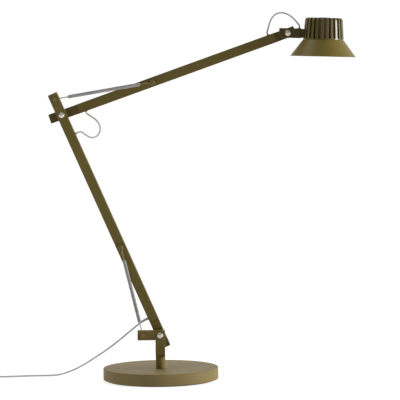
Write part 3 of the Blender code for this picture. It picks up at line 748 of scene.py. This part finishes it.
def cord_sleeve(length, tip_r, root_r, ribs):
    """A tapered strain relief along Z with ribs, hollow round its cord."""
    outer = []
    for k in range(ribs * 4 + 1):
        t = k / (ribs * 4)
        r = root_r + (tip_r - root_r) * t
        outer.append((r - (0.55 if k % 4 in (1, 2) else 0.0), length * t))
    inner = CORD_R + 0.05
    return lathe([*outer, (inner, length), (inner, 0)], 32, closed=True)


def pin_sleeve():
    """The insulating sleeve at a round pin's root, along Z."""
    return lathe([(0, -3)] + softened([(2.05, -3), (2.05, 9.6), (0, 9.6)], [0, 0.15, 0]), 28)


def pin_tip():
    """The metal end of a round pin, along Z."""
    return lathe([(0, 9.0), (1.9, 9.0), (1.9, 17.6), (1.4, 18.7), (0, 19.0)], 28)


# Lamp parts


def spring_coil(length, lead, hook):
    """A close-wound draw spring along X from its stud. Its end turns draw in, most of all at the hook."""
    near, far = hook, length - lead
    pitch, middle = 2 * SPRING_WIRE + 0.04, COIL_R - SPRING_WIRE
    turns = (far - near - 2 * SPRING_WIRE) / pitch
    steps = 14
    drawn_turns = 2.6
    line = []
    for k in range(round(turns * steps) + 1):
        turn = k / steps
        draw_in = max(0.0, 1 - turn / drawn_turns, 0.4 - (turns - turn) / drawn_turns)
        r = middle - 1.5 * draw_in * draw_in
        a = 2 * math.pi * turn
        line.append(Vector((near + SPRING_WIRE + turn * pitch, r * math.cos(a), r * math.sin(a))))
    return swept(line, SPRING_WIRE, 6)


def main():
    build_base()
    build_post()
    build_arms()
    build_head()
    build_springs()
    build_cords()
    build_studio()


SPINDLE_HOLE = 5.3
WASHER_LOW, WASHER_TOP = 50.9, 51.5  # the friction washer that the post swivels on


def build_base():
    top = softened([(0, BASE_TOP), (BASE_R, BASE_TOP), (BASE_R, 2.3), (0, 2.3)], [0, 1.7, 1.2, 0], steps=5)
    hole = moved(cylinder(SPINDLE_HOLE, 5, 40, 40), at(0, POST_Y, 0))
    pocket = moved(cylinder(17, -1, 10.3, 48), at(0, POST_Y, 0))
    plate = combined(lathe(top, 192), hole, pocket)
    show("base_disc", plate, base_frame, base_paint, "base", "base_plate")
    pad = [(0, 0)]
    for r in (20, 50, 80, 104):
        pad += [(r, 0), (r + 0.6, 0.6), (r + 2.4, 0.6), (r + 3.0, 0)]
    pad += [(113.2, 0), (114, 0.6), (114, 2.0), (0, 2.0)]
    show("base_foot", lathe(pad, 96), base_frame, rubber, "base", "base_pad")
    collar = ring(SPINDLE_HOLE, 10.0, BASE_TOP + GAP, WASHER_LOW - GAP, 0.5, 72)
    show("collar_sleeve", collar, post_frame, collar_paint_painted_light, "base", "swivel_collar")


def build_post():
    washer = ring(SPINDLE_HOLE, 9.6, WASHER_LOW, WASHER_TOP, 0.15)
    show("swivel_washer_ring", washer, post_frame, gland_plastic, "post", "swivel_washer")
    plate = box((-HALF, -HALF, WASHER_TOP + GAP), (HALF, HALF, 53.8), 0.6)
    spigot = box((-PLUG / 2, -PLUG / 2, 52.8), (PLUG / 2, PLUG / 2, 66.0))
    foot = combined(combined(plate, spigot, operation="UNION"), cylinder(SPINDLE_HOLE, 45, 70, 40))
    show("post_foot_plug", foot, post_frame, post_paint_painted_light, "post", "post_plug")
    upright = Matrix.Rotation(-math.pi / 2, 4, "Y")
    tube = moved(square_tube(54.1, POST_TOP - 2.3, seams=(False, False)), upright)
    tube = combined(tube, cross_hole(HOLE_R, 0, PIVOT.z))
    show("post_upright", tube, post_frame, post_paint_painted_light, "post", "post_tube")
    cap = moved(end_cap(POST_TOP), upright)
    show("post_top_cap", cap, post_frame, post_paint_painted_light, "post", "post_cap")
    slot = slot_cutter(-BRACKET + 4.0, -29.0, 0, 20)
    tube = square_tube(-BRACKET, -HALF - GAP, slot, cross_hole(PIN_HOLE_R, -SPRING_PIN), start_wall=WALL,
                       seams=(False, False))
    level = post_frame @ at(0, 0, PIVOT.z)
    show("bracket_arm", tube, level, post_paint_painted_light, "post", "spring_bracket")
    pin_at = level @ at(-SPRING_PIN) @ TO_FRONT
    show("bracket_pin", support_pin(), pin_at, pin_paint_painted_highlight, "post", "lower_spring_pin")
    joint_hardware("lower_pivot", "lower_pivot_washer", "post", level, "lower_pivot_bolt")


def knuckle(start, end, toward, hole_x):
    """An arm's solid end piece with softened edges, its spigot toward the tube: 1 along X, or -1."""
    reach = 4.5
    if toward > 0:
        stations = rounded_end(start, 1, 0.9) + seam_end(end, -1)[::-1]
        spigot = (end - 1, end + reach)
    else:
        stations = seam_end(start, 1) + rounded_end(end, -1, 0.9)[::-1]
        spigot = (start - reach, start + 1)
    block = lofted(stations, FACE, 9.8, 0.9)
    tongue = box((spigot[0], -PLUG / 2, -PLUG / 2), (spigot[1], PLUG / 2, PLUG / 2))
    return combined(combined(block, tongue, operation="UNION"), cross_hole(HOLE_R, hole_x))


def build_arms():
    end = ARM + EXTENSION
    block = knuckle(-LOWER_TAIL, KNUCKLE, 1, 0)
    show("lower_arm_end", block, lower_frame, paint, "lower_arm", "lower_arm_knuckle")
    tube = square_tube(
        KNUCKLE + GAP, end - 2.3, cross_hole(HOLE_R, ARM), cross_hole(PIN_HOLE_R, ARM + SPRING_PIN),
        cross_hole(PIN_HOLE_R, SPRING_STUD, y=(-20, -5)), gland_hole(MAINS_AT, 1),
        gland_hole(ELBOW_CORD_AT, -1), slot_cutter(ARM + 22, ARM + 42, -15, -5),
        seams=(True, False))
    show("lower_arm_bar", tube, lower_frame, paint, "lower_arm", "lower_arm_tube")
    show("lower_arm_top_cap", end_cap(end), lower_frame, paint, "lower_arm", "lower_arm_cap")
    joint_hardware("elbow", "elbow_washer", "lower_arm", lower_frame @ at(ARM), "elbow_bolt")
    pin_at = lower_frame @ at(ARM + SPRING_PIN) @ TO_FRONT
    show("upper_support_pin", support_pin(), pin_at, pin_paint_painted_highlight, "lower_arm", "upper_spring_pin")
    stud_at = lower_frame @ at(SPRING_STUD) @ TO_FRONT
    show("lower_stud", stud(), stud_at, paint, "lower_arm", "lower_spring_stud")
    block = knuckle(-TAIL, KNUCKLE, 1, 0)
    show("elbow_end", block, upper_frame, elbow_paint_painted_shade, "upper_arm", "elbow_knuckle")
    tube = square_tube(
        KNUCKLE + GAP, UPPER_ARM - HEAD_KNUCKLE - GAP, cross_hole(PIN_HOLE_R, SPRING_STUD, y=(-20, -5)),
        gland_hole(ELBOW_CORD_END, -1), gland_hole(HEAD_CORD_AT, 1))
    show("upper_arm_bar", tube, upper_frame, arm_paint_painted_shade, "upper_arm", "upper_arm_tube")
    block = knuckle(UPPER_ARM - HEAD_KNUCKLE, UPPER_ARM + TIP, -1, UPPER_ARM)
    show("head_end", block, upper_frame, head_shadow_paint, "upper_arm", "head_knuckle")
    stud_at = upper_frame @ at(SPRING_STUD) @ TO_FRONT
    show("upper_stud", stud(), stud_at, paint, "upper_arm", "upper_spring_stud")


BAR_END, NECK_END = 27.3, 41.1
RIM_R, RIM_Z = 68.0, -46.9
DRUM_TOP, DRUM_R, DRUM_FOOT_R, DRUM_FOOT = 33.0, 39.0, 42.0, -12.0
CORE_R, CAVITY_R, BUTTON_HOLE = 34.0, 30.0, 9.3
FINS, SLOT_HALF, SLOT_FOOT = 24, 2.5, -10.0
FIN_EDGE = 0.55


def drum_radius(z):
    """The outside of the drum: a slight taper, then a rounded top edge that meets the core."""
    shoulder = 27.2
    if z <= shoulder:
        return DRUM_FOOT_R + (DRUM_R - DRUM_FOOT_R) * (z - DRUM_FOOT) / (shoulder - DRUM_FOOT)
    t = min(1.0, (z - shoulder) / (DRUM_TOP - shoulder))
    return CORE_R + (DRUM_R - CORE_R) * math.sqrt(max(0.0, 1 - t * t))


SLOT_POINTS = 6  # the points of half a slot, from the middle of its floor to the top of its wall


def fin_section(z):
    """Half of one fin pitch at a height, as (x, y) points: a slot's floor and wall, then a fin's rounded edge
    and face."""
    outer = drum_radius(z)
    foot = max(0.0, SLOT_FOOT + SLOT_HALF - z)
    half = math.sqrt(max(0.0, SLOT_HALF ** 2 - foot ** 2))
    floor = min(CORE_R, outer)
    edge = min(FIN_EDGE, 0.45 * (outer - floor))
    wall_top = outer - edge
    points = [(0.0, floor), (half * 0.55, floor), (half * 0.9, floor + 0.18 * edge), (half, floor + edge),
              (half, (floor + edge + wall_top) / 2), (half, wall_top)]
    for a in (math.pi / 6, math.pi / 3, math.pi / 2):
        points.append((half + edge * (1 - math.cos(a)), wall_top + edge * math.sin(a)))
    pitch = math.pi / FINS
    last = math.atan2(points[-1][0], outer)
    return points + [(outer * math.sin(a), outer * math.cos(a)) for a in ((last + pitch) / 2, pitch)]


def fin_ring(z):
    """One turn of (radius, angle) points: for each pitch, half a section mirrored, then the half itself."""
    half = fin_section(z)
    whole = [(-x, y) for x, y in reversed(half[1:-1])] + half
    return [(math.hypot(x, y), math.atan2(x, y) + 2 * math.pi * k / FINS)
            for k in range(FINS) for x, y in whole]


def heat_sink():
    """The finned drum. Its rings share one pattern of points. At the foot of a slot both of its walls meet in
    a slit, and below it the rings are plain circles."""
    bm = bmesh.new()

    def ring_of(points, z):
        return [bm.verts.new((r * math.cos(a), r * math.sin(a), z)) for r, a in points]

    levels = [SLOT_FOOT + SLOT_HALF * (1 - math.cos(math.radians(a))) for a in (0, 25, 45, 65, 90)]
    levels += [0.0, 9.0, 18.0, 27.2, 28.6, 30.0, 31.2, 32.1, 32.7, DRUM_TOP]
    rings = [ring_of(fin_ring(z), z) for z in levels]
    per_pitch = len(rings[0]) // FINS
    middle = per_pitch // 2 - 1
    slit = range(middle - SLOT_POINTS + 1, middle + SLOT_POINTS)
    angles = [a if k % per_pitch not in slit else 2 * math.pi * (k // per_pitch) / FINS
              for k, (r, a) in enumerate(fin_ring(SLOT_FOOT))]
    plain = [ring_of([(r, a) for a in angles], z) for r, z in (
        (drum_radius(SLOT_FOOT), SLOT_FOOT), (drum_radius(-11.6), -11.6), (DRUM_FOOT_R - 0.5, DRUM_FOOT),
        (CAVITY_R, DRUM_FOOT), (CAVITY_R, 28.0), (BUTTON_HOLE, 28.0), (BUTTON_HOLE, DRUM_TOP - 0.4),
        (BUTTON_HOLE + 0.4, DRUM_TOP), (CORE_R - 6.0, DRUM_TOP))]
    loop = plain + rings[::-1]
    for a, b in zip([rings[0]] + loop, loop):
        for k in range(len(a)):
            if a is rings[0] and b is plain[0] and k % per_pitch in slit[:-1]:
                continue
            j = (k + 1) % len(a)
            bm.faces.new((a[k], a[j], b[j], b[k]))
    bmesh.ops.remove_doubles(bm, verts=bm.verts, dist=TINY)
    bmesh.ops.dissolve_degenerate(bm, edges=bm.edges, dist=TINY)
    bmesh.ops.recalc_face_normals(bm, faces=bm.faces)
    pocket = box((20 - HEAD_AXIS, -9.5, -9.6), (NECK_END + GAP - HEAD_AXIS, 9.5, 9.6))
    return combined(bm, pocket)


def build_head():
    bar = square_tube(-17.8, BAR_END, cross_hole(HOLE_R, 0), gland_hole(HEAD_CORD_END, 1),
                      start_wall=WALL, seams=(False, True))
    show("head_bar_tube", bar, head_frame, head_shadow_paint, "head", "head_bar")
    joint_hardware("head", "head_washer", "head", head_frame, "head_bolt")
    block = lofted(seam_end(BAR_END + GAP, 1) + rounded_end(NECK_END, -1, 0.4)[::-1], 9.2, 9.3, 0.8)
    spigot = box((9.0, -PLUG / 2, -PLUG / 2), (BAR_END + 2, PLUG / 2, 1.5))
    way = moved(cylinder(2.5, 20, 50, 24), at(0, 0, 5.0) @ ALONG)
    neck = combined(combined(block, spigot, operation="UNION"), way)
    show("head_neck_block", neck, head_frame, head_shadow_paint, "head", "head_neck")
    axis = head_frame @ at(HEAD_AXIS)
    show("heat_sink_drum", heat_sink(), axis, drum_paint_painted_shade, "head", "heat_sink", sharp=38)
    cone = [(DRUM_FOOT_R, DRUM_FOOT - GAP), (43.5, -14.1), (RIM_R, RIM_Z), (RIM_R - 2.3, RIM_Z),
            (40.9, -14.2), (39.4, DRUM_FOOT - GAP)]
    cone = softened(cone, [0.2, 0.8, 1.0, 1.0, 0.6, 0.2], closed=True, steps=4)
    show("shade_cone", lathe(cone, 192, closed=True), axis, lampshade_paint_painted_light, "head", "shade")
    driver = lathe(softened([(0, 24.4), (26, 24.4), (26, 3.6), (0, 3.6)], [0, 1.2, 0.6, 0]), 64)
    show("driver_can", driver, axis, plastic, "head", "led_driver")
    mirror = [(12.2, -0.4)] + arc((29.4, 8.0), 19.0, -153, -90, 8)[1:] + [(27.8, -11.0)]
    mirror += list(reversed(arc((27.8, 7.0), 18.0, -155, -90, 8)[1:-1])) + [(10.8, -0.4)]
    show("reflector_bowl", lathe(mirror, 96, closed=True), axis, white_paint, "head", "reflector")
    lens = softened([(0, -11.3), (29.4, -11.3), (29.4, -12.9), (0, -12.9)], [0, 0.4, 0.4, 0])
    show("diffuser_disc", lathe(lens, 96), axis, frosted, "head", "diffuser")
    holder = [(33.1, -12.3), (33.6, -12.8), (33.6, -14.9), (26.5, -14.9), (26.5, -13.2), (29.8, -13.2),
              (29.8, -12.3)]
    holder = softened(holder, [0.1, 0.2, 0.6, 0.6, 0.1, 0.1, 0.1], closed=True)
    show("diffuser_ring", lathe(holder, 96, closed=True), axis, plastic, "head", "retaining_ring")
    rim = [(7.2, 33.8), (9.0, 33.8), (9.0, 27.7), (10.6, 27.7), (10.6, 26.3), (0, 26.3)]
    cap = [(0, 33.2), (6.6, 33.35)] + softened(rim, [0.2, 0.5, 0.2, 0.2, 0.2, 0])
    show("button_cap", lathe(cap, 72), axis, plastic, "button", "power_button")


SPRING_LEAD = 27.5  # from a support pin to the coil that its rod slides in
ROD_INSIDE = 43.5  # of a draw rod, inside its coil


def build_springs():
    lower_pin = Vector((-SPRING_PIN, POST_Y, PIVOT.z))
    lower_stud = PIVOT + SPRING_STUD * direction(LOWER_LEAN) + Vector((0, POST_Y, 0))
    upper_pin = PIVOT + (ARM + SPRING_PIN) * direction(LOWER_LEAN)
    upper_stud = ELBOW + SPRING_STUD * direction(UPPER_RISE)
    for name, pin, post, hook in (("lower", lower_pin, lower_stud, 27.0),
                                  ("upper", upper_pin, upper_stud, 26.0)):
        angle = rise(pin, post)
        from_stud, from_pin = place(post, angle + 180), place(pin, angle)
        coil = spring_coil((post - pin).length, SPRING_LEAD, hook)
        eye, rod = hooked_wire(hook + 1.2), hooked_wire(SPRING_LEAD + ROD_INSIDE)
        for piece, shape, matrix, material, body, node in (
                ("_spring_wire", coil, from_stud, spring_steel, "_spring", "_spring_coil"),
                ("_spring_eye", eye, from_stud, hook_steel, "_spring", "_spring_hook"),
                ("_rod_wire", rod, from_pin, spring_steel, "_draw_rod", "_spring_rod")):
            show(name + piece, shape, matrix, material, name + body, name + node, sharp=80, weighted=False)


def hooked_wire(reach):
    """A wire from an open eye round a pin at the origin to its reach along X."""
    eye_r, straight = 3.7, 10.4
    line = [Vector((eye_r * math.cos(a), 0.0, eye_r * math.sin(a)))
            for a in (math.radians(-28 - 12.0 * k) for k in range(25))]
    line += [Vector((5.4, 0.0, 1.5)), Vector((7.6, 0.0, 0.35)), Vector((straight, 0.0, 0.0))]
    line = through(line, 0.9)
    line += [Vector((straight + (reach - straight) * k / 12, 0.0, 0.0)) for k in range(1, 13)]
    return swept(line, WIRE_R, 12)


BOOT_END = 11  # the point of the mains cord's line where its strain relief ends
MAINS_FREE = (-112.0, 42.0, 58.0)  # a point of the mains cord near the floor, handed to add_cord, which does not use it


def build_cords():
    for name, matrix, body, x, side, node in (
            ("mains_gland_seal", lower_frame, "lower_arm", MAINS_AT, 1, "mains_gland"),
            ("elbow_gland_low_seal", lower_frame, "lower_arm", ELBOW_CORD_AT, -1, "elbow_gland_lower"),
            ("elbow_gland_high_seal", upper_frame, "upper_arm", ELBOW_CORD_END, -1, "elbow_gland_upper"),
            ("head_gland_arm_seal", upper_frame, "upper_arm", HEAD_CORD_AT, 1, "head_gland_arm"),
            ("head_gland_bar_seal", head_frame, "head", HEAD_CORD_END, 1, "head_gland_bar")):
        flip = Matrix.Identity(4) if side > 0 else Matrix.Rotation(math.pi, 4, "X")
        show(name, gland(), matrix @ at(x) @ flip, gland_plastic, body, node)
    plug_at = Matrix.Scale(MM, 4) @ at(PLUG_X, PLUG_Y, PLUG_MID)
    body = show("plug_body", plug(), plug_at, plastic, "post", "mains_plug")
    sleeve_at = plug_at @ at(0, -20.0, 0) @ Matrix.Rotation(-math.pi / 2, 4, "X")
    sleeve = show("plug_sleeve", cord_sleeve(22.0, 2.6, 4.1, 5), sleeve_at, plastic, "post")
    pins_at = [at(x, -36.0, 0) @ TO_FRONT for x in (-9.3, 9.3)]
    sleeves = merged(*(moved(pin_sleeve(), m) for m in pins_at))
    pin_sleeves = show("plug_pin_sleeves", sleeves, plug_at, plastic, "post")
    tips = merged(*(moved(pin_tip(), m) for m in pins_at))
    pin_tips = show("plug_pin_tips", tips, plug_at, bright_steel, "post")
    line = through(mains_route, 2.6)
    boot = swept(line[1:BOOT_END], lambda t: 2.75 - 0.7 * t, 16)
    boot = show("mains_boot", boot, Matrix.Scale(MM, 4), cord_rubber, "lower_arm", sharp=80, weighted=False)
    add_cord("mains_flex", line, 10, ("lower_arm", "post", line[BOOT_END], MAINS_FREE),
             ["mains_cord", "mains_coil", "mains_tail"], far_end="plug", stiffness="medium", lay="loose",
             with_pieces=[body, sleeve, pin_sleeves, pin_tips, boot])
    line = through(elbow_route, 2.0)
    add_cord("elbow_flex", line, 12, ("lower_arm", "upper_arm", line[3], line[-4]), ["elbow_cord"],
             far_end="object", stiffness="limp", lay="hanging")
    line = through(head_route, 2.0)
    add_cord("head_flex", line, 12, ("upper_arm", "head", line[3], line[-4]), ["head_cord"],
             far_end="object", stiffness="limp", lay="loose")


# Camera, floor and light


def aim(o, target, roll=0.0):
    o.rotation_mode = "QUATERNION"
    turn = (Vector(target) - o.location).to_track_quat("-Z", "Y")
    o.rotation_quaternion = turn @ Matrix.Rotation(math.radians(roll), 4, "Z").to_quaternion()


def softbox(name, side, height, size, watts):
    """A soft light 2.3 m from the lamp: side is its angle to the right of the camera, height above level."""
    light = bpy.data.lights.new(name, "AREA")
    light.shape, light.size, light.size_y = "RECTANGLE", size[0], size[1]
    light.energy = watts
    o = bpy.data.objects.new(name, light)
    bpy.context.scene.collection.objects.link(o)
    a, e = math.radians(side), math.radians(height)
    middle = Vector((0.08, 0.0, 0.4))
    o.location = middle + 2.3 * Vector((math.sin(a) * math.cos(e), -math.cos(a) * math.cos(e), math.sin(e)))
    aim(o, middle)


def build_studio():
    scene = bpy.context.scene
    camera = bpy.data.objects.new("camera", bpy.data.cameras.new("camera"))
    scene.collection.objects.link(camera)
    camera.data.sensor_width, camera.data.lens = 36.0, 216.8
    camera.location = (0.0861, -5.0, 0.6826)
    aim(camera, (0.0861, 0.0, 0.3746), roll=-0.7)
    scene.camera = camera
    scene.view_settings.view_transform = "Standard"

    bm = bmesh.new()
    bmesh.ops.create_grid(bm, x_segments=12, y_segments=12, size=90.0)
    floor = bpy.data.objects.new("floor", as_mesh("floor", bm))
    scene.collection.objects.link(floor)
    g = Graph("pale_floor", Specular_IOR_Level=0.1, Emission_Color=(1, 1, 1, 1), Emission_Strength=0.7)
    speckle = g.noise(3.0, 3.0)
    tone = g.colours(speckle, (0.4, (0.39, 0.39, 0.388)), (0.6, (0.41, 0.41, 0.408)))
    floor.data.materials.append(g.done(tone, g.ranged(speckle, 0.3, 0.7, 0.75, 0.9)))

    world = bpy.data.worlds.new("studio")
    scene.world = world
    world.use_nodes = True
    tree = world.node_tree
    split = tree.nodes.new("ShaderNodeSeparateXYZ")
    tree.links.new(tree.nodes.new("ShaderNodeTexCoord").outputs["Generated"], split.inputs[0])
    total = tree.nodes.new("ShaderNodeMath")
    for socket, axis, values in ((0, "Y", (-0.35, 0.55, 0.0, 1.03)), (1, "Z", (0.0, 0.8, 0.0, 0.33))):
        part = tree.nodes.new("ShaderNodeMapRange")
        for k, v in enumerate(values, 1):
            part.inputs[k].default_value = v
        tree.links.new(split.outputs[axis], part.inputs[0])
        tree.links.new(part.outputs[0], total.inputs[socket])
    tree.links.new(total.outputs[0], tree.nodes["Background"].inputs["Strength"])
    tree.nodes["Background"].inputs["Color"].default_value = (1, 1, 1, 1)
    softbox("key", 80, 6, (0.6, 1.2), 52)
    softbox("strip", 54, 9, (0.16, 0.9), 1.1)
    softbox("left_high", -85, 62, (0.6, 0.9), 12)


main()
